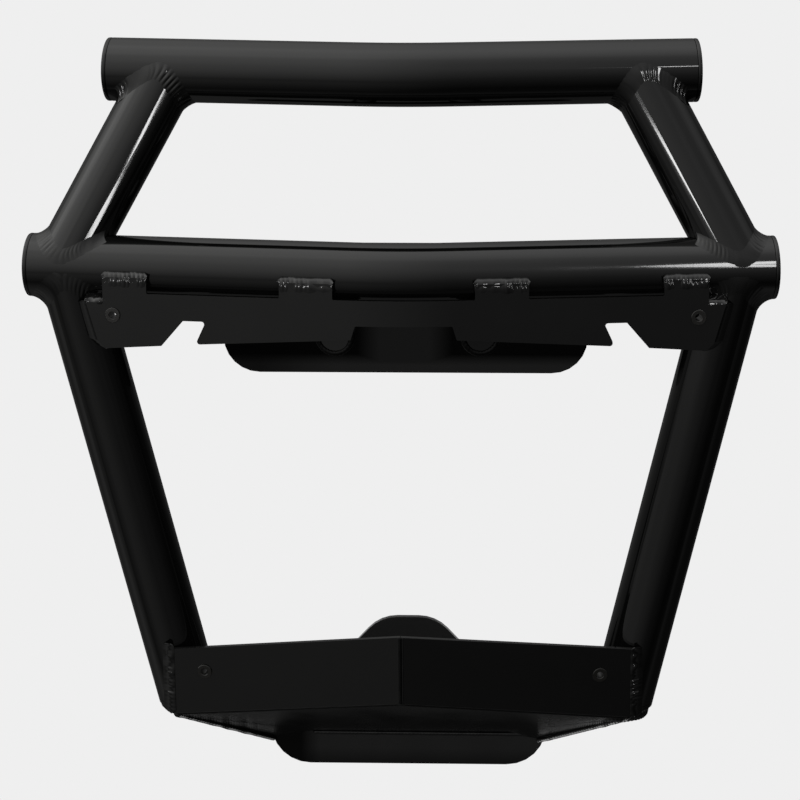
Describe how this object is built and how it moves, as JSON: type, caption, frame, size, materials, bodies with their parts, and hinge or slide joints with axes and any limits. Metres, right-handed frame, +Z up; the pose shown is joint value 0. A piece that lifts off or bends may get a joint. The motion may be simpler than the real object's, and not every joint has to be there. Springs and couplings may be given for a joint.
{
  "type": "front grille guard",
  "caption": "Welded tube grille guard with two bent cross tubes, slanted struts, folded front plates, a sloping skid plate and two mount plates at the back.",
  "frame": {"origin": "on the back face of the lower mount plate, on the centre plane of the cross tubes", "axes": "+X to the right seen from the front, +Y back towards the vehicle, +Z up"},
  "size_m": [0.5274, 0.1292, 0.5457],
  "materials": {
    "powder_coat": "gloss black powder coat",
    "insert_steel": "dark zinc"
  },
  "bodies": {
    "root": {"lower_front_plate_left": "powder_coat", "lower_front_plate_right": "powder_coat", "lower_mount_plate": "powder_coat", "lower_strut_cap_left": "powder_coat", "lower_strut_cap_right": "powder_coat", "lower_strut_left": "powder_coat", "lower_strut_right": "powder_coat", "lower_threaded_insert_left": "insert_steel", "lower_threaded_insert_right": "insert_steel", "middle_tube": "powder_coat", "middle_tube_cap_left": "powder_coat", "middle_tube_cap_right": "powder_coat", "skid_plate": "powder_coat", "top_tube": "powder_coat", "top_tube_cap_left": "powder_coat", "top_tube_cap_right": "powder_coat", "upper_front_plate": "powder_coat", "upper_mount_plate": "powder_coat", "upper_standoff_cap_left": "powder_coat", "upper_standoff_cap_right": "powder_coat", "upper_standoff_left": "powder_coat", "upper_standoff_right": "powder_coat", "upper_strut_left": "powder_coat", "upper_strut_right": "powder_coat", "upper_threaded_insert_left": "insert_steel", "upper_threaded_insert_right": "insert_steel"}
  },
  "joints": []
}
